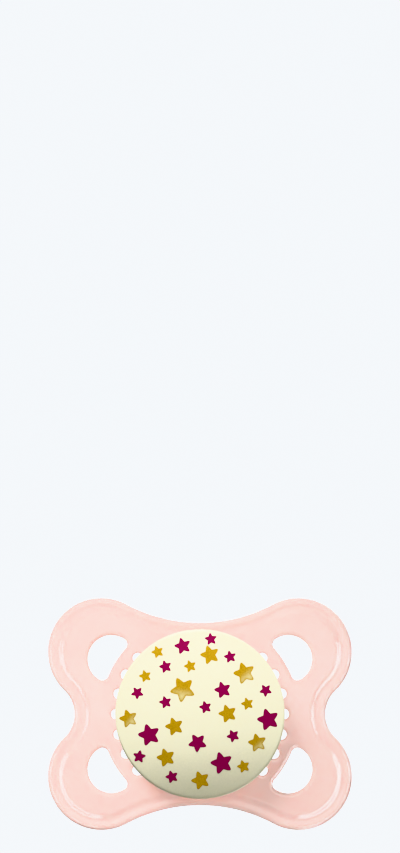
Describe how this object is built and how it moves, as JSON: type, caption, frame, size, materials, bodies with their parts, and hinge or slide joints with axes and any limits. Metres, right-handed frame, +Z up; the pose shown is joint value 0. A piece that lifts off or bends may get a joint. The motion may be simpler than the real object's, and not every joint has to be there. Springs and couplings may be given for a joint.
{
  "type": "pacifier",
  "caption": "Baby's pacifier: a curved shield with rounded lobes, D-shaped vents and air holes, a soft flattened teat behind it, and a round domed button on a short neck in front.",
  "frame": {"origin": "on the teat's axis, on the mouth side of the shield, where the lips meet it", "axes": "+Y along the teat's axis, from the button towards the teat's tip; +Z up and +X to the right as seen from the button's side"},
  "size_m": [0.062, 0.0383, 0.0472],
  "materials": {
    "shield_plastic": "moulded polypropylene, pale pink, light gloss",
    "button_plastic": "moulded polypropylene with glow pigment, cream, light gloss, printed",
    "carrier_plastic": "moulded polypropylene, cream, satin",
    "plug_plastic": "moulded polypropylene, natural white, satin",
    "silicone": "clear silicone with a faint silky haze"
  },
  "bodies": {
    "holder": {"shield": "shield_plastic", "button_cap": "button_plastic", "button_carrier": "carrier_plastic", "teat_plug": "plug_plastic", "teat_root": "silicone"},
    "teat": {"teat_bulb": "silicone"}
  },
  "joints": [
    {"name": "teat_flex", "type": "hinge", "parent": "holder", "child": "teat", "pos_m": [0, 0.003, 0], "axis": [1, 0, 0], "range_deg": [-25, 25], "stiffness_Nm_per_rad": 0.02}
  ]
}
